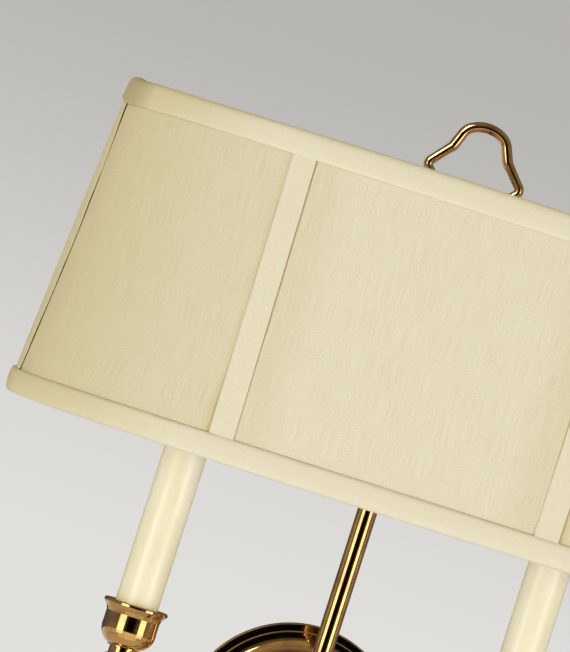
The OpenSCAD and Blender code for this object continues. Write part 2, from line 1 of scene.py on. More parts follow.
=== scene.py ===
import json
import math

import bpy
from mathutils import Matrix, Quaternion, Vector, noise


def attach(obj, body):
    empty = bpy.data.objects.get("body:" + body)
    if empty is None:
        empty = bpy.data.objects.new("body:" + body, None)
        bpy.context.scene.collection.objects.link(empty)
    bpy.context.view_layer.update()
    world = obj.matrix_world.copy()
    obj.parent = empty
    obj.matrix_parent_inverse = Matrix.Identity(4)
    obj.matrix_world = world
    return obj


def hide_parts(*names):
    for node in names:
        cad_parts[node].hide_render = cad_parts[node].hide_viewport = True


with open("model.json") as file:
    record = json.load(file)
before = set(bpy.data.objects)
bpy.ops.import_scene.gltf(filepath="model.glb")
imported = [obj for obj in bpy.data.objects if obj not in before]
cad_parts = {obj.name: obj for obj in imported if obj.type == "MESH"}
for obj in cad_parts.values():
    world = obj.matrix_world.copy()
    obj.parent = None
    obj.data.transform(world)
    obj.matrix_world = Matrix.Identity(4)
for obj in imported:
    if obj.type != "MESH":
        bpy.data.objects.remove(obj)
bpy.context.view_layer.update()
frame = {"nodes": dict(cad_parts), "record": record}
scene = bpy.context.scene
scene.view_settings.view_transform = "Standard"
perMetre = 1000  # sizes are in millimetres, apart from the camera's, the map's and the studio's


# the camera comes first, in metres and degrees; the picture is taken as 570 x 652
cameraView = {
    "aim": (-0.06789, -0.052, 0.21639),  # what the middle of the picture looks at
    "distance": 4.1,
    "yaw": 3.26,  # to the left of straight on
    "eyeHeight": 0.2144,
    "roll": 17.68,  # the sconce leans to the right in the picture
    "lens": 450.7, "sensor": 36,  # millimetres
    "farClip": 200,
}


def makeCamera(view):
    data = bpy.data.cameras.new("camera")
    data.lens = view["lens"]
    data.sensor_width = view["sensor"]
    data.clip_end = view["farClip"]
    camera = bpy.data.objects.new("camera", data)
    scene.collection.objects.link(camera)
    aim = Vector(view["aim"])
    yaw = math.radians(view["yaw"])
    away = Vector((-math.sin(yaw), -math.cos(yaw), 0)) * view["distance"]
    camera.location = aim + away
    camera.location.z = view["eyeHeight"]
    level = (aim - camera.location).to_track_quat("-Z", "Y")
    camera.rotation_mode = "QUATERNION"
    camera.rotation_quaternion = level @ Quaternion((0, 0, 1), math.radians(view["roll"]))
    scene.camera = camera


makeCamera(cameraView)
print("camera set")


# materials
def linear(hexText):
    parts = [int(hexText[i:i + 2], 16) / 255 for i in (1, 3, 5)]
    return [c / 12.92 if c <= 0.04045 else ((c + 0.055) / 1.055) ** 2.4 for c in parts] + [1.0]


def fill(tree, node, inputs):
    for name, value in inputs.items():
        if isinstance(value, bpy.types.NodeSocket):
            tree.links.new(value, node.inputs[name])
        else:
            node.inputs[name].default_value = value


def addNode(tree, kind, inputs=None, **settings):
    node = tree.nodes.new(kind)
    for name, value in settings.items():
        setattr(node, name, value)
    fill(tree, node, inputs or {})
    return node


def newMaterial(name):
    material = bpy.data.materials.new(name)
    material.use_nodes = True
    tree = material.node_tree
    tree.nodes.clear()
    shader = addNode(tree, "ShaderNodeBsdfPrincipled")
    addNode(tree, "ShaderNodeOutputMaterial", {"Surface": shader.outputs[0]})
    return material, tree, shader


def setRamp(ramp, stops):
    elements = ramp.color_ramp.elements
    while len(elements) < len(stops):
        elements.new(0.5)
    for element, (place, hexText) in zip(elements, stops):
        element.position = place
        element.color = linear(hexText)


threadLay = "threadLay"  # the cloths' own map: metres along the shade, metres up


clothLook = {
    "panelDark": "#D6CEB3", "panelMid": "#E0D9C4", "panelLight": "#E8E3D3",
    "slubWidth": 0.42, "slubLength": 20.0,
    # real threads are about 0.2 mm; drawn wider, so that they show at this size
    "threadWidth": 0.38, "threadSquash": 0.45, "threadShare": 0.58,
    "panelGloss": 0.25, "panelSheen": 0.12,
    "trimDark": "#DFD8C0", "trimLight": "#E4DECA",
    # the real weave is about 0.3 mm; drawn wider, so that it shows at this size
    "twillPitch": 0.8, "twillRun": 5, "twillTurn": 45,
    # painted shade: the cloth is painted darker and yellower towards the two ends of the shade, where less
    # light reaches it, between these distances in metres from the middle
    "shadeRampFrom": 0.055, "shadeRampTo": 0.265,
    # painted shade: the narrow brown part lies under the tapes and paints the dark lines at their edges and
    # along the bottom trim, the paler dip after it paints the soft shade beside the tapes, and the last two
    # stops paint the deep shade in the slit by the end tapes
    "panelShadeRamp": [(0.0, "#FFFFFF"), (0.07, "#F9F7EF"), (0.1123, "#F9F7EE"), (0.1135, "#D9C888"),
                  (0.1714, "#D9C888"), (0.1723, "#EEE8D5"), (0.1892, "#F7F5EC"), (0.324, "#F7F6EC"),
                  (0.431, "#F7F5E6"), (0.529, "#F8F5E1"), (0.653, "#F7F3DC"), (0.804, "#F1EACF"),
                  (0.911, "#EEE6CA"), (0.9555, "#4A3A1C")],
    # the trims take the same painted shade towards the ends, and the last stop, darker still, reaches only
    # their very ends
    "trimShadeRamp": [(0.227, "#FFFFFF"), (0.324, "#FAF9F2"), (0.431, "#F8F6E8"), (0.529, "#F8F5E1"),
                 (0.653, "#F8F4DE"), (0.849, "#F8F4DE"), (1.0, "#DACFAE")],
    "liningDark": "#E6E0CE", "liningLight": "#F1ECDF",
    "liningRibs": 1.4, "liningRuns": 0.16,  # in each millimetre, across and along the threads
}


def paintShadeToEnds(tree, lay, colour, look, stops):
    # painted shade: darker and yellower towards the two ends of the shade, where less light reaches
    parts = addNode(tree, "ShaderNodeSeparateXYZ", {"Vector": lay})
    away = addNode(tree, "ShaderNodeMath", {0: parts.outputs["X"]}, operation="ABSOLUTE")
    share = addNode(tree, "ShaderNodeMapRange",
                    {"Value": away.outputs[0], "From Min": look["shadeRampFrom"], "From Max": look["shadeRampTo"]})
    tone = addNode(tree, "ShaderNodeValToRGB", {"Fac": share.outputs[0]})
    setRamp(tone, stops)
    toned = addNode(tree, "ShaderNodeMix", {0: 1.0, 6: colour, 7: tone.outputs[0]},
                    data_type="RGBA", blend_type="MULTIPLY")
    return toned.outputs[2], share.outputs[0]


def slubSilk(look):
    # Slubbed silk dupion, hand stretched: fine upright streaks where thick threads run, a dry faint sheen
    material, tree, shader = newMaterial("slubSilkWoven")
    lay = addNode(tree, "ShaderNodeUVMap", uv_map=threadLay).outputs[0]
    slubScale = (perMetre / look["slubWidth"], perMetre / look["slubLength"], 1)
    slubMap = addNode(tree, "ShaderNodeMapping", {"Vector": lay, "Scale": slubScale})
    slub = addNode(tree, "ShaderNodeTexNoise",
                   {"Vector": slubMap.outputs[0], "Scale": 1.0, "Detail": 3.0, "Roughness": 0.6})
    fine = perMetre / look["threadWidth"]
    threadScale = (fine, fine * look["threadSquash"], 1)
    threadMap = addNode(tree, "ShaderNodeMapping", {"Vector": lay, "Scale": threadScale})
    thread = addNode(tree, "ShaderNodeTexNoise",
                     {"Vector": threadMap.outputs[0], "Scale": 1.0, "Detail": 2.0, "Roughness": 0.7})
    both = addNode(tree, "ShaderNodeMix",
                   {"Factor": look["threadShare"], "A": slub.outputs[0], "B": thread.outputs[0]},
                   data_type="FLOAT")
    ramp = addNode(tree, "ShaderNodeValToRGB", {"Fac": both.outputs[0]})
    setRamp(ramp, [(0.39, look["panelDark"]), (0.5, look["panelMid"]), (0.61, look["panelLight"])])
    bump = addNode(tree, "ShaderNodeBump",
                   {"Height": both.outputs[0], "Strength": 0.4, "Distance": 0.00018})
    toned, share = paintShadeToEnds(tree, lay, ramp.outputs[0], look, look["panelShadeRamp"])
    # what lies in deep shade has no gloss either
    (fades, _), (deep, _) = look["panelShadeRamp"][-2:]
    gloss = addNode(tree, "ShaderNodeMapRange",
                    {"Value": share, "From Min": fades, "From Max": deep,
                     "To Min": look["panelGloss"], "To Max": 0.0})
    sheen = addNode(tree, "ShaderNodeMath",
                    {0: gloss.outputs[0], 1: look["panelSheen"] / look["panelGloss"]}, operation="MULTIPLY")
    fill(tree, shader, {"Base Color": toned, "Normal": bump.outputs[0], "Roughness": 0.78,
                        "Specular IOR Level": gloss.outputs[0], "Sheen Weight": sheen.outputs[0],
                        "Sheen Roughness": 0.5})
    return material


def biasCotton(look):
    # Cotton sateen cut on the bias and pressed: smooth and even, with a faint slanting grain
    material, tree, shader = newMaterial("biasSateenPressed")
    lay = addNode(tree, "ShaderNodeUVMap", uv_map=threadLay).outputs[0]
    pitch = look["twillPitch"] / perMetre
    turned = addNode(tree, "ShaderNodeMapping",
                     {"Vector": lay, "Rotation": (0, 0, math.radians(look["twillTurn"])),
                      "Scale": (pitch, pitch * look["twillRun"], 1)},
                     vector_type="TEXTURE")
    grain = addNode(tree, "ShaderNodeTexNoise",
                    {"Vector": turned.outputs[0], "Scale": 1.0, "Detail": 2.0, "Roughness": 0.55})
    ramp = addNode(tree, "ShaderNodeValToRGB", {"Fac": grain.outputs[0]})
    setRamp(ramp, [(0.3, look["trimDark"]), (0.7, look["trimLight"])])
    bump = addNode(tree, "ShaderNodeBump",
                   {"Height": grain.outputs[0], "Strength": 0.2, "Distance": 0.00008})
    toned, _ = paintShadeToEnds(tree, lay, ramp.outputs[0], look, look["trimShadeRamp"])
    fill(tree, shader, {"Base Color": toned, "Normal": bump.outputs[0], "Roughness": 0.6,
                        "Specular IOR Level": 0.3, "Sheen Weight": 0.1})
    return material


def liningTaffeta(look):
    # Polyester taffeta, plain woven and stretched: paler and a little shinier than the outside
    material, tree, shader = newMaterial("liningTaffetaWoven")
    lay = addNode(tree, "ShaderNodeUVMap", uv_map=threadLay).outputs[0]
    scale = (look["liningRibs"] * perMetre, look["liningRuns"] * perMetre, 1)
    weave = addNode(tree, "ShaderNodeMapping", {"Vector": lay, "Scale": scale})
    rib = addNode(tree, "ShaderNodeTexNoise", {"Vector": weave.outputs[0], "Scale": 1.0, "Detail": 2.0})
    ramp = addNode(tree, "ShaderNodeValToRGB", {"Fac": rib.outputs[0]})
    setRamp(ramp, [(0.3, look["liningDark"]), (0.7, look["liningLight"])])
    bump = addNode(tree, "ShaderNodeBump", {"Height": rib.outputs[0], "Strength": 0.3, "Distance": 0.0001})
    fill(tree, shader, {"Base Color": ramp.outputs[0], "Normal": bump.outputs[0], "Roughness": 0.55,
                        "Sheen Weight": 0.1})
    return material


metalLook = {
    "brassBright": "#CB9A49", "brassBrown": "#B08139", "brassDark": "#866129",
    "patinaSize": 14.0,
    "steelLight": "#B9BBBB", "steelDark": "#8C8F90",
    "spangleSize": 5.0,
    "capLight": "#C9A567", "capDark": "#A47F45",
    "capSpots": 0.26,  # in each millimetre
}


def agedBrass(look):
    # Antique brass, turned, polished and lacquered: crisp gold and black bands, white lines, brown clouds
    material, tree, shader = newMaterial("antiqueBrassPolished")
    place = addNode(tree, "ShaderNodeTexCoord")
    cloud = addNode(tree, "ShaderNodeTexNoise",
                    {"Vector": place.outputs["Object"], "Scale": perMetre / look["patinaSize"],
                     "Detail": 4.0, "Roughness": 0.6})
    ramp = addNode(tree, "ShaderNodeValToRGB", {"Fac": cloud.outputs[0]})
    setRamp(ramp, [(0.25, look["brassDark"]), (0.42, look["brassBrown"]), (0.6, look["brassBright"])])
    rough = addNode(tree, "ShaderNodeMapRange",
                    {"Value": cloud.outputs[0], "From Min": 0.3, "From Max": 0.65,
                     "To Min": 0.11, "To Max": 0.05})
    fill(tree, shader, {"Base Color": ramp.outputs[0], "Roughness": rough.outputs[0], "Metallic": 1.0,
                        "Coat Weight": 0.6, "Coat Roughness": 0.05, "Coat IOR": 2.0})
    return material


def platedSteel(look):
    # Steel wire and strip, drawn and zinc plated: grey, satin, with a faint spangle
    material, tree, shader = newMaterial("zincPlatedSteel")
    place = addNode(tree, "ShaderNodeTexCoord")
    spangle = addNode(tree, "ShaderNodeTexVoronoi",
                      {"Vector": place.outputs["Object"], "Scale": perMetre / look["spangleSize"]})
    ramp = addNode(tree, "ShaderNodeValToRGB", {"Fac": spangle.outputs["Color"]})
    setRamp(ramp, [(0.1, look["steelDark"]), (0.9, look["steelLight"])])
    fill(tree, shader, {"Base Color": ramp.outputs[0], "Metallic": 1.0, "Roughness": 0.38})
    return material


def spunCap(look):
    # Brass sheet, pressed into thread: pale, satin, a little tarnished
    material, tree, shader = newMaterial("brassSheetPressed")
    place = addNode(tree, "ShaderNodeTexCoord")
    spots = addNode(tree, "ShaderNodeTexNoise",
                    {"Vector": place.outputs["Object"], "Scale": look["capSpots"] * perMetre, "Detail": 3.0})
    ramp = addNode(tree, "ShaderNodeValToRGB", {"Fac": spots.outputs[0]})
    setRamp(ramp, [(0.35, look["capDark"]), (0.6, look["capLight"])])
    fill(tree, shader, {"Base Color": ramp.outputs[0], "Metallic": 1.0, "Roughness": 0.3})
    return material


mouldedLook = {
    "ivoryLight": "#F6F0DB", "ivoryDark": "#F1E8C9",
    "ivoryCloud": 38.0, "ivoryDrawn": 5,  # the clouds' length, and how many times it is their width
    "phenolicDark": "#1D1512", "phenolicLight": "#2E221B",
    "glassTint": "#F4F1E8",
    "greenLight": "#3F7A4E", "greenDark": "#2C5D3A",
    "flecks": 0.9, "etchGrains": 1.8, "wornSpots": 0.7,  # in each millimetre
}


def ivoryResin(look):
    # Ivory resin candle tube, extruded and buffed: creamy, cloudy lengthwise, with a soft gloss
    material, tree, shader = newMaterial("ivoryResinExtruded")
    place = addNode(tree, "ShaderNodeTexCoord")
    size = perMetre / look["ivoryCloud"]
    scale = (size * look["ivoryDrawn"], size * look["ivoryDrawn"], size)
    drawn = addNode(tree, "ShaderNodeMapping", {"Vector": place.outputs["Object"], "Scale": scale})
    cloud = addNode(tree, "ShaderNodeTexNoise", {"Vector": drawn.outputs[0], "Scale": 1.0, "Detail": 3.0})
    ramp = addNode(tree, "ShaderNodeValToRGB", {"Fac": cloud.outputs[0]})
    setRamp(ramp, [(0.35, look["ivoryDark"]), (0.65, look["ivoryLight"])])
    bump = addNode(tree, "ShaderNodeBump", {"Height": cloud.outputs[0], "Strength": 0.05, "Distance": 0.0005})
    fill(tree, shader, {"Base Color": ramp.outputs[0], "Normal": bump.outputs[0], "Roughness": 0.28,
                        "IOR": 1.5, "Specular IOR Level": 0.5, "Subsurface Weight": 0.3,
                        "Subsurface Radius": (0.004, 0.003, 0.0015)})
    return material


def phenolicBody(look):
    # Phenolic resin, compression moulded: almost black brown, with a dull gloss
    material, tree, shader = newMaterial("phenolicMoulded")
    place = addNode(tree, "ShaderNodeTexCoord")
    fleck = addNode(tree, "ShaderNodeTexNoise",
                    {"Vector": place.outputs["Object"], "Scale": look["flecks"] * perMetre, "Detail": 2.0})
    ramp = addNode(tree, "ShaderNodeValToRGB", {"Fac": fleck.outputs[0]})
    setRamp(ramp, [(0.4, look["phenolicDark"]), (0.65, look["phenolicLight"])])
    fill(tree, shader, {"Base Color": ramp.outputs[0], "Roughness": 0.4})
    return material


def etchedGlass(look):
    # Bulb glass, blown and acid etched inside: milky white with a smooth outer gloss
    material, tree, shader = newMaterial("bulbGlassEtched")
    place = addNode(tree, "ShaderNodeTexCoord")
    etch = addNode(tree, "ShaderNodeTexNoise",
                   {"Vector": place.outputs["Object"], "Scale": look["etchGrains"] * perMetre, "Detail": 2.0})
    rough = addNode(tree, "ShaderNodeMapRange", {"Value": etch.outputs[0], "To Min": 0.42, "To Max": 0.52})
    fill(tree, shader, {"Base Color": linear(look["glassTint"]), "Roughness": rough.outputs[0], "IOR": 1.5,
                        "Transmission Weight": 0.35, "Coat Weight": 0.4, "Coat Roughness": 0.08})
    return material


def greenPaint(look):
    # Steel screw, dipped in green lacquer: satin, worn paler in patches
    material, tree, shader = newMaterial("greenLacquerDipped")
    place = addNode(tree, "ShaderNodeTexCoord")
    wear = addNode(tree, "ShaderNodeTexNoise",
                   {"Vector": place.outputs["Object"], "Scale": look["wornSpots"] * perMetre, "Detail": 3.0})
    ramp = addNode(tree, "ShaderNodeValToRGB", {"Fac": wear.outputs[0]})
    setRamp(ramp, [(0.4, look["greenDark"]), (0.7, look["greenLight"])])
    fill(tree, shader, {"Base Color": ramp.outputs[0], "Roughness": 0.35})
    return material


finishes = {
    "shade_cloth": slubSilk(clothLook),
    "trim_cloth": biasCotton(clothLook),
    "lining_cloth": liningTaffeta(clothLook),
    "antique_brass": agedBrass(metalLook),
    "zinc_steel": platedSteel(metalLook),
    "bulb_cap": spunCap(metalLook),
    "ivory_sleeve": ivoryResin(mouldedLook),
    "phenolic": phenolicBody(mouldedLook),
    "frosted_glass": etchedGlass(mouldedLook),
    "green_screw": greenPaint(mouldedLook),
}
for subpart in frame["record"]["subparts"]:
    solid = frame["nodes"][subpart["node"]]
    for place in solid.material_slots:
        place.material = finishes[subpart["material_slot"]]
print("materials:", len(finishes))


# the shade's shape: a straight front with a quarter-round cone at each end
shade = {
    "halfRibs": 85.5, "wallGap": 5.0,
    "low": 142.0, "high": 312.0,
    "radiusLow": 104.0, "radiusHigh": 91.0,
    "trimWidth": 12.7,
    "tapeLow": 84.6, "tapeHigh": 86.7,  # the front tapes' distance from the middle, at the trims
}
midRadius = (shade["radiusLow"] + shade["radiusHigh"]) / 2
midHeight = (shade["low"] + shade["high"]) / 2
arcEnd = shade["halfRibs"] + midRadius * math.pi / 2
bottomLeg = shade["low"] + shade["trimWidth"]
topLeg = shade["high"] - shade["trimWidth"]


def mix(a, b, t):
    return a + (b - a) * t


def ease(x, low, high):
    t = min(max((x - low) / (high - low), 0), 1)
    return t * t * (3 - 2 * t)


def eased(changes, x):
    # each change is how much, from where and to where
    return sum(much * ease(x, low, high) for much, low, high in changes)


def along(table, x):
    # straight lines between the table's points
    for (a, va), (b, vb) in zip(table, table[1:]):
        if x <= b:
            return mix(va, vb, max(0, (x - a) / (b - a)))
    return table[-1][1]


def waver(way, x, y, layer=0.0):
    # way is how much, and over what lengths of x and y; a bare y or layer only picks a part of the noise
    much, xLength, yLength = way
    return much * noise.noise(Vector((x / xLength, y / yLength, layer)))


def faceAt(z):
    share = (z - shade["low"]) / (shade["high"] - shade["low"])
    return mix(shade["radiusLow"], shade["radiusHigh"], share)


def turnAt(run):
    return min(max(0, abs(run) - shade["halfRibs"]) / midRadius, math.pi / 2)


def onShade(run, z, out):
    # run is measured along the shade from its middle, out is measured from the cloth's face
    r, turn = faceAt(z) + out, turnAt(run)
    x = min(abs(run), shade["halfRibs"]) + r * math.sin(turn)
    y = max(0, abs(run) - arcEnd) - shade["wallGap"] - r * math.cos(turn)
    return Vector((math.copysign(x, run), y, z)) / perMetre


def tapeLine(z):
    return mix(shade["tapeLow"], shade["tapeHigh"], (z - bottomLeg) / (topLeg - bottomLeg))


def addMesh(name, points, faces, material):
    mesh = bpy.data.meshes.new(name)
    mesh.from_pydata(points, [], faces)
    mesh.materials.append(material)
    thing = bpy.data.objects.new(name, mesh)
    scene.collection.objects.link(thing)
    return thing


def loft(name, strips, slotName, node):
    # each strip is a row of (outside, inside, place on the map), and both ends are closed
    points, spots, faces = [], [], []
    for strip in strips:
        outside, inside, lay = [list(column) for column in zip(*strip)]
        points += outside + inside[::-1]
        spots += lay + lay[::-1]
    count = 2 * len(strips[0])
    for i in range(len(strips) - 1):
        here, there = i * count, (i + 1) * count
        for k in range(count):
            m = (k + 1) % count
            faces.append((here + k, here + m, there + m, there + k))
    for base, turned in ((0, True), ((len(strips) - 1) * count, False)):
        for k in range(count // 2 - 1):
            face = (base + k, base + k + 1, base + count - 2 - k, base + count - 1 - k)
            faces.append(face[::-1] if turned else face)
    piece = addMesh(name, points, faces, finishes[slotName])
    mesh = piece.data
    layer = mesh.uv_layers.new(name=threadLay)
    for loop in mesh.loops:
        layer.data[loop.index].uv = spots[loop.vertex_index]
    mesh.polygons.foreach_set("use_smooth", [True] * len(mesh.polygons))
    mesh.update()
    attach(piece, "shade")
    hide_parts(node)


# outer panels
panelCut = {
    "thick": 0.6,
    "endFlat": (0.145, 0.159), "centreFlat": (0.165, 0.159),  # metres, cut flat
    # rows of points, closer together at the trims
    "rowsLow": [147.6, 151.0, 153.6, 154.6, 154.8, 154.95, 155.15, 155.4, 155.8, 156.4, 157.5],
    "rowsMiddle": (160, 294, 44),
    "rowsHigh": [296.5, 297.8, 298.4, 298.7, 298.95, 299.15, 299.35, 300.4, 303.0, 306.4],
    "step": 2.6,
    "tuck": 3.35,  # how far the panels run in under the front tapes
    "pull": 0.9,  # how far the rounded ends are drawn in at mid-height
    "swell": (0.16, 34, 60), "ripple": (0.05, 7, 70),
    # from the shade's back edge to the end panels' folded edge, more at mid-height
    "slit": 16.6, "slitBow": 3.4,
    "trimHold": (1.5, 11, 1), "leastHold": 0.2,  # how unevenly the bottom trim presses the cloth in
    # for the map: where it leans in full, the cloth behind the bottom trim and the painted shadow line just
    # above it, the cloth under the end tapes
    "leanFull": 60, "shadowAboveTrim": 0.32, "edgeSpare": 0.03,
}
# distance from a panel's edge, and how far its face stands out there
besideTapeRight = [(0, -1.2), (2, -1), (3, -0.7), (3.28, -0.46), (3.38, -0.18), (3.46, -0.05), (3.62, 0.02),
                   (4, 0.04), (4.8, 0.04), (6, 0.02), (8, 0)]
besideTapeLeft = [(0, -0.9), (2, -0.86), (3.2, -0.62), (3.5, -0.54), (4.2, -0.42), (5, -0.28), (6, -0.14),
                  (7.2, -0.05), (9, 0)]
besideTapeGap = [(0, -1), (2, -0.9), (3.3, -0.7), (3.5, -0.56), (4, -0.38), (4.8, -0.2), (6, -0.08), (8, 0)]
foldedEdge = [(-10, -2.8), (-2.4, -2.7), (-0.3, -2.5), (0, -1.6), (0.06, -0.8), (0.2, -0.3), (0.5, 0),
              (1, 0.12), (2.5, 0.1), (5, 0.02), (9, 0)]
aboveBottomTrim = [(-3, -0.2), (0.1, -0.04), (0.35, -0.02), (0.7, -0.01), (1.3, 0)]
belowTopTrim = [(-3, -0.3), (0.1, -0.12), (0.4, -0.04), (0.9, 0)]


def slitRun(z):
    up = min(max((z - bottomLeg) / (topLeg - bottomLeg), 0), 1)
    return arcEnd - panelCut["slit"] - panelCut["slitBow"] * math.sin(math.pi * up)


def panelRows(cut):
    low, high, steps = cut["rowsMiddle"]
    return cut["rowsLow"] + [mix(low, high, i / steps) for i in range(steps + 1)] + cut["rowsHigh"]


def panelOut(cut, run, z):
    # how far the cloth stands out away from its side edges
    hold = max(cut["leastHold"], 1 + waver(cut["trimHold"], run, 2.2))
    out = along(aboveBottomTrim, z - bottomLeg) * hold + along(belowTopTrim, topLeg - z)
    up = math.sin(math.pi * ease(z, bottomLeg, topLeg))
    out -= cut["pull"] * math.sin(2 * turnAt(run)) * up
    return out + (waver(cut["swell"], run, z, 3.1) + waver(cut["ripple"], run, z, 8.2)) * up


def panelLay(cut, run, z):
    # the map follows the tapes, which lean
    lean = (tapeLine(z) - shade["halfRibs"]) * min(1, abs(run) / cut["leanFull"])
    laid = run - math.copysign(lean, run)
    # painted shadow: the part that runs in behind the bottom trim, and a thin line just above it, takes the
    # brown painted shade that lies under the tapes, which draws a dark line along the trim's edge
    if z < bottomLeg + cut["shadowAboveTrim"]:
        laid = math.copysign(shade["halfRibs"], run)
    # what goes on under the end tapes lies in deep shade
    if abs(run) > slitRun(z) - cut["edgeSpare"]:
        laid = math.copysign(clothLook["shadeRampTo"] * perMetre, run)
    return laid / perMetre, z / perMetre


def makePanel(name, node, leftEdge, leftTable, rightEdge, rightTable):
    cut = panelCut
    leftWidth, rightWidth = leftTable[-1][0], rightTable[-1][0]
    span = rightEdge(midHeight) - leftEdge(midHeight) - leftWidth - rightWidth
    pieces = max(2, round(span / cut["step"]))
    columns = [("left", d) for d, _ in leftTable]
    columns += [("middle", i / pieces) for i in range(1, pieces)]
    columns += [("right", d) for d, _ in reversed(rightTable)]
    strips = []
    for kind, d in columns:
        strip = []
        for z in panelRows(cut):
            a, b = leftEdge(z), rightEdge(z)
            if kind == "left":
                run = a + d
            elif kind == "right":
                run = b - d
            else:
                run = mix(a + leftWidth, b - rightWidth, d)
            out = along(leftTable, run - a) + along(rightTable, b - run) + panelOut(cut, run, z)
            strip.append((onShade(run, z, out), onShade(run, z, out - cut["thick"]), panelLay(cut, run, z)))
        strips.append(strip)
    loft(name, strips, "shade_cloth", node)


inset = shade["trimWidth"] / 2 - panelCut["tuck"]
makePanel("shade_panel_left", "panel_left", lambda z: -slitRun(z), foldedEdge,
          lambda z: -tapeLine(z) - inset, besideTapeLeft)
makePanel("shade_panel_centre", "panel_centre", lambda z: -tapeLine(z) + inset, besideTapeRight,
          lambda z: tapeLine(z) - inset, besideTapeGap)
makePanel("shade_panel_right", "panel_right", lambda z: tapeLine(z) + inset, besideTapeRight,
          slitRun, foldedEdge)
print("panels stretched")


# lining
liningCut = {
    "out": -4.0, "thick": 0.4, "low": 146.0, "high": 306.5, "endGap": 3.0,
    "step": 4.0, "rows": 28,
    "sag": 0.25, "swell": (0.2, 22, 45),
}


def makeLining(name, node, start, end):
    cut = liningCut
    pieces = round((end - start) / cut["step"])
    strips = []
    for i in range(pieces + 1):
        run = mix(start, end, i / pieces)
        strip = []
        for k in range(cut["rows"] + 1):
            z = mix(cut["low"], cut["high"], k / cut["rows"])
            up = math.sin(math.pi * k / cut["rows"])
            out = cut["out"] - (cut["sag"] + waver(cut["swell"], run, z, 5.5)) * up
            spot = (run / perMetre, z / perMetre)
            strip.append((onShade(run, z, out), onShade(run, z, out - cut["thick"]), spot))
        strips.append(strip)
    loft(name, strips, "lining_cloth", node)


liningEnd = arcEnd - liningCut["endGap"]
makeLining("shade_lining_left", "lining_left", -liningEnd, -shade["halfRibs"])
makeLining("shade_lining_centre", "lining_centre", -shade["halfRibs"], shade["halfRibs"])
makeLining("shade_lining_right", "lining_right", shade["halfRibs"], liningEnd)
print("lining stretched")


# folded trims: (out, distance from the shade's edge), from the leg over the edge to the hem inside
hemOuter = [(-2.6, 0), (-3.8, 0.25), (-4.6, 0.9), (-5.05, 2), (-5.2, 4), (-5.15, 6.5), (-5.05, 9)]
hemInner = [(-2.5, 0.83), (-3.4, 1), (-4, 1.5), (-4.4, 2.3), (-4.58, 4), (-4.55, 6.5), (-4.5, 8.9)]
bottomFold = {
    "edge": shade["low"], "up": 1, "gather": 0.5, "flat": (0.0285, 0.5),
    "swell": [(0, 0.5), (45, 0.45), (85, 0.2), (130, 0), (170, -0.1), (205, -0.5), (240, -0.6)],
    "frontOuter": [(0.22, 12.75), (0.62, 12.66), (1.6, 12), (1.95, 10.5), (2.1, 8), (2.15, 5.5), (2.05, 3.6),
                   (1.7, 2), (1, 0.9), (0, 0.25), (-1.2, 0.02)],
    "frontInner": [(0.04, 12.62), (0.14, 12.3), (0.85, 11.7), (1.15, 10.4), (1.35, 8), (1.4, 5.6), (1.3, 3.9),
                   (1, 2.55), (0.5, 1.65), (-0.3, 1.05), (-1.3, 0.85)],
    "endOuter": [(1.1, 12.75), (1.8, 12.6), (2.3, 12), (2.65, 10.5), (2.75, 8.3), (2.7, 6.3), (2.4, 4.4),
                 (1.8, 2.6), (1, 1.2), (0, 0.4), (-1.2, 0.05)],
    "endInner": [(0.7, 12.5), (1.1, 12.2), (1.55, 11.6), (1.9, 10.2), (2, 8.2), (1.95, 6.3), (1.65, 4.6),
                 (1.1, 3.1), (0.5, 1.95), (-0.4, 1.2), (-1.3, 0.88)],
    "endHump": 0.0, "endLip": 1.3, "endsDarker": 19.0,
}
topFold = {
    "edge": shade["high"], "up": -1, "gather": 0.12, "flat": (0.0285, 0.46),
    "swell": [(0, 0.95), (30, 0.9), (68, 0.5), (110, 0.1), (148, 0.05), (165, 0.35), (188, 0.75), (240, 0.9)],
    "frontOuter": [(0.3, 12.75), (0.6, 12.6), (0.95, 12), (1.4, 10.5), (1.65, 8), (1.7, 5.5), (1.65, 3.6),
                   (1.35, 2), (0.75, 0.9), (-0.2, 0.25), (-1.3, 0.02)],
    "frontInner": [(0.08, 12.6), (0.12, 12.3), (0.35, 11.7), (0.8, 10.4), (1, 8), (1.05, 5.6), (0.95, 3.9),
                   (0.7, 2.55), (0.2, 1.65), (-0.5, 1.05), (-1.4, 0.85)],
    "endOuter": [(1.1, 12.6), (1.6, 12.4), (1.95, 11.7), (2.15, 10.2), (2.1, 7.8), (1.9, 5.4), (1.6, 3.3),
                 (1.2, 1.6), (0.3, 0.5), (-0.9, 0.1), (-1.8, 0)],
    "endInner": [(0.75, 12.4), (0.9, 12.1), (1.15, 11.4), (1.35, 9.9), (1.3, 7.7), (1.1, 5.5), (0.85, 3.8),
                 (0.45, 2.5), (-0.2, 1.6), (-1.1, 1.05), (-1.8, 0.85)],
    "endHump": 1.1, "endLip": -1.7, "endsDarker": 56.0,
}
trimCut = {
    "steps": 230,
    "closing": [(0.5, 0.06), (1.0, 0.2), (1.3, 0.5)],  # past the back edge, and how far the fold closes there
    "frontPoints": 9,  # how many points of the fold lie on the leg in front
    # from where to where along the shade the ends' shape, hump, lip and darker tone come in
    "endsIn": (196, 236), "humpIn": (208, 228), "lipIn": (220, 238), "endsDarkIn": (152, 200),
    # from where to where up the leg the hump, the lip and the wave of its edge come in
    "humpUp": (9, 0), "lipUp": (6, 12.5), "waveUp": (8, 12),
    "crease": (1, 2.6, 7), "creaseSlant": 0.52, "frontGather": 0.02,
    "slack": (0.1, 30, 15), "wave": (0.12, 26, 1),
    "leastRise": 1.2,
}


def between(front, end, share):
    return [(mix(a[0], b[0], share), mix(a[1], b[1], share)) for a, b in zip(front, end)]


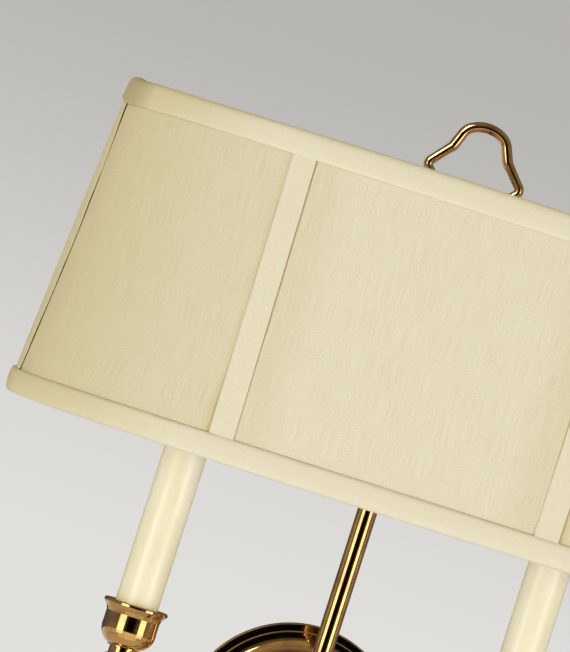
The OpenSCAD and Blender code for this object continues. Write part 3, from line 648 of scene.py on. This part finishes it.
def trimStrip(fold, run, shrink):
    # shrink is 0 along the trim; past the back edge it closes the fold into a rounded end
    cut, away, layer = trimCut, abs(run), fold["edge"]
    end = ease(away, *cut["endsIn"])
    outer = between(fold["frontOuter"], fold["endOuter"], end) + hemOuter
    inner = between(fold["frontInner"], fold["endInner"], end) + hemInner
    hump = fold["endHump"] * ease(away, *cut["humpIn"]) + along(fold["swell"], away)
    lip = fold["endLip"] * ease(away, *cut["lipIn"])
    for i, (out, rise) in enumerate(outer):
        give, shift = 0.0, -hump * ease(rise, *cut["humpUp"])
        if i < cut["frontPoints"]:
            crease = waver(cut["crease"], run + cut["creaseSlant"] * rise, rise, layer)
            give += fold["gather"] * (cut["frontGather"] + end) * crease
            shift += lip * ease(rise, *cut["lipUp"])
            # the leg's edge is sewn down, and the rest is slack
            give += waver(cut["slack"], run, rise, layer) if i > 1 else 0
        outer[i] = (out + give, rise + shift)
        inner[i] = (inner[i][0] + give, inner[i][1] + shift)
    middle = [((a[0] + b[0]) / 2, max(a[1], cut["leastRise"])) for a, b in zip(outer, outer[::-1])]
    wave = waver(cut["wave"], run, 4.4, layer)
    # the map is pushed further towards the ends there, so the trims' ends come out darker in the painted
    # shade
    endsDarker = run + math.copysign(fold["endsDarker"] * ease(away, *cut["endsDarkIn"]), run)

    def place(spot):
        rise = spot[1] + wave * ease(spot[1], *cut["waveUp"])
        return onShade(run, fold["edge"] + fold["up"] * rise, spot[0])

    strip, path = [], 0.0
    for i in range(len(outer)):
        if i:
            path += math.dist(outer[i], outer[i - 1])
        if shrink:
            inner[i] = middle[i]
            outer[i] = (mix(outer[i][0], middle[i][0], shrink), mix(outer[i][1], middle[i][1], shrink))
        strip.append((place(outer[i]), place(inner[i]), (endsDarker / perMetre, path / perMetre)))
    return strip


def makeTrim(name, node, fold):
    steps, ends = trimCut["steps"], trimCut["closing"]
    runs = [(-arcEnd - past, shrink) for past, shrink in reversed(ends)]
    runs += [(mix(-arcEnd, arcEnd, i / steps), 0) for i in range(steps + 1)]
    runs += [(arcEnd + past, shrink) for past, shrink in ends]
    strips = [trimStrip(fold, run, shrink) for run, shrink in runs]
    loft(name, strips[::fold["up"]], "trim_cloth", node)


makeTrim("trim_bottom", "bottom_trim", bottomFold)
makeTrim("trim_top", "top_trim", topFold)
print("trims folded")


# tapes
tapeCut = {
    "frontLow": 146.4, "frontHigh": 307.6, "frontSteps": 54,
    # (distance from the tape's middle, outside, inside)
    "front": [(-6.35, -0.44, -0.53), (-6.2, -0.22, -0.48), (-5.7, 0.06, -0.38), (-5, 0.32, -0.2),
              (-4, 0.52, -0.05), (-2.5, 0.66, 0.05), (0, 0.75, 0.1), (2.5, 0.78, 0.1), (5, 0.78, 0.1),
              (5.9, 0.76, 0.1), (6.25, 0.66, 0.1), (6.35, 0.45, 0.1)],
    "drift": (0.1, 24, 1), "crown": (0.05, 5, 16), "crownHalf": 6,
    "endLow": 151.6, "endHigh": 302.4, "endSteps": 60,
    "endWidth": 31.2,  # laid flat
    # (distance from the shade's back edge, out), outside and inside of the tape round that edge
    "endOuter": [(16.3, 0.36), (16, 0.56), (14.6, 0.72), (11, 0.84), (7, 0.88), (3, 0.88), (1, 0.85),
                 (0, 0.72), (-0.6, 0.3), (-1, -0.6), (-1.1, -2.3), (-1, -4), (-0.6, -4.9), (0.2, -5.3),
                 (2, -5.35), (5.5, -5.3)],
    "endInner": [(16.3, 0.14), (16, 0.06), (14.6, 0.1), (11, 0.22), (7, 0.28), (3, 0.28), (1, 0.25),
                 (0.1, 0.18), (-0.2, 0), (-0.45, -0.7), (-0.5, -2.3), (-0.45, -3.9), (-0.15, -4.4),
                 (0.4, -4.65), (2, -4.75), (5.5, -4.75)],
    "freeIn": (7, 13),  # where the tape's front leg comes free of the rib
    "edgeSlow": (0.35, 17, 1), "edgeQuick": (0.16, 4.5, 1), "liftWay": (0.14, 9, 1),
    # how much, and between what heights: the slit is widest at the top and closes a little below that
    "widened": [(0.2, 234, 262), (-0.65, 283, 291)],
    # the free edge has come away near both ends
    "lifted": [(0.36, 262, 284), (0.3, 200, 168)],
    # height, and how far the free edge is pressed in there, which closes the slit
    "pressed": [(154, 0), (158, -0.16), (171, -0.1), (178, -0.12), (185, -0.18), (192, -0.08), (203, -0.12),
                (212, -0.22), (222, -0.26), (232, -0.34), (240, -0.22), (248, -0.08), (259, -0.12),
                (266, -0.24), (272, -0.38), (278, -0.36), (285, -0.22), (292, -0.12), (300, -0.1)],
}


def makeFrontTape(name, node, side):
    cut = tapeCut
    strips = []
    for i in range(cut["frontSteps"] + 1):
        z = mix(cut["frontLow"], cut["frontHigh"], i / cut["frontSteps"])
        middle = side * tapeLine(z) + waver(cut["drift"], z, side * 3.3)
        strip = []
        for across, high, low in cut["front"]:
            run = middle + across
            crown = waver(cut["crown"], across, z, side * 7.7) if abs(across) < cut["crownHalf"] else 0
            spot = (run / perMetre, z / perMetre)
            strip.append((onShade(run, z, high + crown), onShade(run, z, low), spot))
        strips.append(strip)
    loft(name, strips[::-1], "trim_cloth", node)


def makeEndTape(name, node, side):
    cut = tapeCut
    strips = []
    for i in range(cut["endSteps"] + 1):
        z = mix(cut["endLow"], cut["endHigh"], i / cut["endSteps"])
        edge = waver(cut["edgeSlow"], z, side * 2.2) + waver(cut["edgeQuick"], z, side * 9.1)
        edge += arcEnd - slitRun(z) - panelCut["slit"] + eased(cut["widened"], z)
        lift = waver(cut["liftWay"], z, side * 5.3) + eased(cut["lifted"], z) + along(cut["pressed"], z)
        strip, path, last = [], 0.0, cut["endOuter"][0]
        for (w, high), (v, low) in zip(cut["endOuter"], cut["endInner"]):
            free = ease(w, *cut["freeIn"])
            path += math.dist((w, high), last)
            last = (w, high)
            strip.append((onShade(side * (arcEnd - w - edge * free), z, high + lift * free),
                          onShade(side * (arcEnd - v - edge * free), z, low + lift * free),
                          (side * (arcEnd - path) / perMetre, z / perMetre)))
        strips.append(strip)
    loft(name, strips[::-side], "trim_cloth", node)


for sideName, side in (("left", -1), ("right", 1)):
    makeFrontTape("front_tape_" + sideName, "tape_front_" + sideName, side)
    makeEndTape("end_tape_" + sideName, "tape_end_" + sideName, side)
print("tapes laid")


# the loop on top: a tapering wire bent round a path, and the boss under it
loopWire = {
    "top": 341.9, "base": 309.0, "axis": -52.0,
    # the bends' radii and the straight run down each side
    "archRadius": 16.0, "shoulder": 8.6, "sideRun": 6.9, "neck": 5.0, "legRadius": 36.0, "foot": 3.2,
    "ease": 4.0,
    # the way the wire heads after each bend, in degrees
    "archTo": 210, "shoulderTo": 249, "neckTo": 225, "legTo": 229, "footTo": 315,
    "footHalf": 23.8, "lean": 0.014,  # bent by hand, it leans a little to the left
    # distance along the wire from the middle of the top, and the wire's radius there
    "thick": [(0, 2.7), (9, 2.65), (15, 2.58), (20, 2.66), (22.5, 2.66), (26, 2.45), (33, 2.38), (37, 2.4)],
    "sides": 40,
    # (radius, height)
    "boss": [(5.15, 299.55), (8, 299.55), (8, 301.55), (7.46, 301.6), (6.6, 307.45), (3.4, 310.25),
             (0.02, 310.3), (0.02, 306.2), (5.15, 306.2)],
    "bossSides": 64,
}


def loopPath(wire):
    # from the middle of the top down the left half, then under to the middle of the base
    x, z, heading = 0.0, wire["top"], 180
    path = [(x, z)]

    def bend(radius, toward, steps):
        nonlocal x, z, heading
        side = 1 if toward > heading else -1
        a, step = math.radians(heading), math.radians(toward - heading) / steps
        for i in range(steps):
            x += side * radius * (math.sin(a + step) - math.sin(a))
            z -= side * radius * (math.cos(a + step) - math.cos(a))
            a += step
            path.append((x, z))
        heading = toward

    def run(length, steps):
        nonlocal x, z
        for i in range(steps):
            x += length / steps * math.cos(math.radians(heading))
            z += length / steps * math.sin(math.radians(heading))
            path.append((x, z))

    bend(wire["archRadius"], wire["archTo"], steps=10)
    bend(wire["shoulder"], wire["shoulderTo"], steps=12)
    run(wire["sideRun"], steps=5)
    bend(wire["neck"], wire["neckTo"], steps=8)
    bend(wire["legRadius"], wire["legTo"], steps=4)
    # as far as the foot's bend, which then reaches footHalf from the middle
    leg, foot = math.radians(wire["legTo"]), math.radians(wire["footTo"])
    reach = wire["footHalf"] - wire["foot"] * (1 + math.sin(leg))
    run((x + reach) / -math.cos(leg), steps=4)
    bend(wire["foot"], wire["footTo"], steps=12)
    # as far as the last bend, which ends level with the base
    drop = z - wire["base"] - wire["ease"] * (1 - math.cos(foot))
    run(drop / -math.sin(foot), steps=4)
    bend(wire["ease"], 360, steps=8)
    run(-x, steps=8)
    return path


def ringFaces(first, rings, sides):
    # the faces between rings of points, the last joined to the first
    faces = []
    for i in range(rings):
        here, there = first + i * sides, first + (i + 1) % rings * sides
        for k in range(sides):
            m = (k + 1) % sides
            faces.append((here + k, here + m, there + m, there + k))
    return faces


def makeLoop(wire):
    left = loopPath(wire)
    far, gone = 0.0, [0.0]
    for a, b in zip(left, left[1:]):
        far += math.dist(a, b)
        gone.append(far)
    thick = [along(wire["thick"], d) for d in gone]
    thick += thick[-2:0:-1]
    path = left + [(-x, z) for x, z in reversed(left[1:-1])]
    path = [(x - wire["lean"] * (z - wire["base"]), z) for x, z in path]
    count, sides = len(path), wire["sides"]
    points = []
    for i, (x, z) in enumerate(path):
        a, b = path[i - 1], path[(i + 1) % count]
        turn = math.atan2(b[1] - a[1], b[0] - a[0])
        for k in range(sides):
            reach = thick[i] * math.cos(math.tau * k / sides)
            y = wire["axis"] + thick[i] * math.sin(math.tau * k / sides)
            points.append(Vector((x - reach * math.sin(turn), y, z + reach * math.cos(turn))) / perMetre)
    faces = ringFaces(0, count, sides)
    smooth, base, steps = len(faces), len(points), wire["bossSides"]
    for r, z in wire["boss"]:
        for k in range(steps):
            a = math.tau * k / steps
            points.append(Vector((r * math.cos(a), wire["axis"] + r * math.sin(a), z)) / perMetre)
    faces += ringFaces(base, len(wire["boss"]), steps)
    piece = addMesh("wire_loop", points, faces, finishes["antique_brass"])
    piece.data.polygons.foreach_set("use_smooth", [i < smooth for i in range(len(faces))])
    piece.data.update()
    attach(piece, "finial")
    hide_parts("loop_finial")


makeLoop(loopWire)
print("loop bent")


# studio, in metres: lamps round the camera, a pale floor and a pale grey surround
lamps = {
    # degrees to the left of the camera, distance, height, size and power
    "softBoxLeft": (40.0, 1.7, -0.02, (0.8, 1.6), 5.1),
    "softBoxRight": (-50.0, 1.7, -0.02, (0.8, 1.6), 5.0),
    "lowFill": (0, 0.9, -0.6, (1.6, 0.8), 1.5),
    # the bright middles of the boxes, a little in front of them, give the brass its white lines
    "stripLeft": (40.0, 1.65, 0.03, (0.8, 0.7), 3.6),
    "stripRight": (-50.0, 1.65, 0.03, (0.8, 0.7), 3.65),
    # a high box that only polished things mirror
    "sparkLeft": (40.0, 1.7, 1.55, (0.8, 1.3), 37.0),
}
studio = {
    "lampsAim": (0, -0.06, 0.2),
    "mirroredOnly": ["sparkLeft"],
    "floor": "#E3E2DE",
    "floorHeight": -1.25, "floorSize": 6.0, "floorSides": 96,
    "floorGlow": 0.55, "fadeFrom": 0.7, "fadeTo": 3.0,
    "surroundLow": "#E1E0DC", "surroundHigh": "#B5B4B0",
    # where the surround's tone changes, as the sine of the angle of sight
    "lowTurn": -0.042, "highTurn": 0.046,
    "fromBelow": "#DAD6C6", "fromAbove": "#BDB498", "softTurn": 0.7,  # the soft light that fills the shadows
    # what polished things mirror, from behind the camera (0) to behind the sconce (1): the room behind the
    # camera is dark, which gives the brass its black cores, and the sides are dim
    "room": [(0.0, "#050505"), (0.016, "#0A0A09"), (0.05, "#6A6861"), (0.3, "#94928D"), (0.55, "#9C9A95"),
             (0.72, "#8A8883"), (0.86, "#686662"), (1.0, "#4C4B48")],
}


def softBox(name, angle, distance, height, size, power):
    data = bpy.data.lights.new(name, "AREA")
    data.shape = "RECTANGLE"
    data.size, data.size_y = size
    data.energy = power
    lamp = bpy.data.objects.new(name, data)
    scene.collection.objects.link(lamp)
    turn = math.radians(angle + cameraView["yaw"])
    middle = Vector(studio["lampsAim"])
    lamp.location = middle + Vector((-math.sin(turn), -math.cos(turn), 0)) * distance
    lamp.location.z = height
    lamp.rotation_mode = "QUATERNION"
    lamp.rotation_quaternion = (middle - lamp.location).to_track_quat("-Z", "Y")
    lamp.visible_camera = False
    lamp.visible_diffuse = name not in studio["mirroredOnly"]


def makeFloor(look):
    # Paper roll, matt: fades into the surround away from the object
    material, tree, shader = newMaterial("studioFloorPaper")
    fill(tree, shader, {"Base Color": linear(look["floor"]), "Roughness": 0.9})
    place = addNode(tree, "ShaderNodeTexCoord")
    far = addNode(tree, "ShaderNodeVectorMath", {"Vector": place.outputs["Object"]}, operation="LENGTH")
    fade = addNode(tree, "ShaderNodeMapRange",
                   {"Value": far.outputs["Value"], "From Min": look["fadeFrom"], "From Max": look["fadeTo"]})
    share = addNode(tree, "ShaderNodeMath", {0: fade.outputs[0], 1: look["floorGlow"]}, operation="MAXIMUM")
    glow = addNode(tree, "ShaderNodeEmission", {"Color": linear(look["surroundLow"]), "Strength": 1.0})
    blend = addNode(tree, "ShaderNodeMixShader",
                    {0: share.outputs[0], 1: shader.outputs[0], 2: glow.outputs[0]})
    # from under the floor it isn't in the way
    facing = addNode(tree, "ShaderNodeNewGeometry")
    clear = addNode(tree, "ShaderNodeBsdfTransparent")
    oneSided = addNode(tree, "ShaderNodeMixShader",
                       {0: facing.outputs["Backfacing"], 1: blend.outputs[0], 2: clear.outputs[0]})
    output = [n for n in tree.nodes if n.type == "OUTPUT_MATERIAL"][0]
    fill(tree, output, {"Surface": oneSided.outputs[0]})
    size, sides = look["floorSize"], look["floorSides"]
    turns = [math.tau * i / sides for i in range(sides)]
    rim = [(size * math.cos(turn), size * math.sin(turn), 0) for turn in turns]
    floor = addMesh("floor", rim, [tuple(range(sides))], material)
    floor.location.z = look["floorHeight"]


def makeSurround(look):
    world = bpy.data.worlds.new("surround")
    scene.world = world
    world.use_nodes = True
    tree = world.node_tree
    tree.nodes.clear()
    sight = addNode(tree, "ShaderNodeTexCoord")
    parts = addNode(tree, "ShaderNodeSeparateXYZ", {"Vector": sight.outputs["Generated"]})
    ray = addNode(tree, "ShaderNodeLightPath")
    # what the camera sees
    rise = addNode(tree, "ShaderNodeMapRange",
                   {"Value": parts.outputs["Z"], "From Min": look["lowTurn"], "From Max": look["highTurn"]},
                   interpolation_type="SMOOTHSTEP")
    tone = addNode(tree, "ShaderNodeMix",
                   {0: rise.outputs[0], 6: linear(look["surroundLow"]), 7: linear(look["surroundHigh"])},
                   data_type="RGBA")
    pale = addNode(tree, "ShaderNodeBackground", {"Color": tone.outputs[2], "Strength": 1.0})
    # what polished things mirror
    back = addNode(tree, "ShaderNodeMapRange",
                   {"Value": parts.outputs["Y"], "From Min": -1.0, "From Max": 1.0})
    dim = addNode(tree, "ShaderNodeValToRGB", {"Fac": back.outputs[0]})
    setRamp(dim, look["room"])
    room = addNode(tree, "ShaderNodeBackground", {"Color": dim.outputs[0], "Strength": 1.0})
    # what lights the shadows
    turn = look["softTurn"]
    upward = addNode(tree, "ShaderNodeMapRange",
                     {"Value": parts.outputs["Z"], "From Min": -turn, "From Max": turn})
    soft = addNode(tree, "ShaderNodeMix",
                   {0: upward.outputs[0], 6: linear(look["fromBelow"]), 7: linear(look["fromAbove"])},
                   data_type="RGBA")
    ambient = addNode(tree, "ShaderNodeBackground", {"Color": soft.outputs[2], "Strength": 1.0})
    mirrored = addNode(tree, "ShaderNodeMath",
                       {0: ray.outputs["Is Glossy Ray"], 1: ray.outputs["Is Transmission Ray"]},
                       operation="MAXIMUM")
    notDirect = addNode(tree, "ShaderNodeMixShader",
                        {0: mirrored.outputs[0], 1: ambient.outputs[0], 2: room.outputs[0]})
    allRays = addNode(tree, "ShaderNodeMixShader",
                      {0: ray.outputs["Is Camera Ray"], 1: notDirect.outputs[0], 2: pale.outputs[0]})
    addNode(tree, "ShaderNodeOutputWorld", {"Surface": allRays.outputs[0]})


for lampName, lampValues in lamps.items():
    softBox(lampName, *lampValues)
makeFloor(studio)
makeSurround(studio)
print("studio lit")
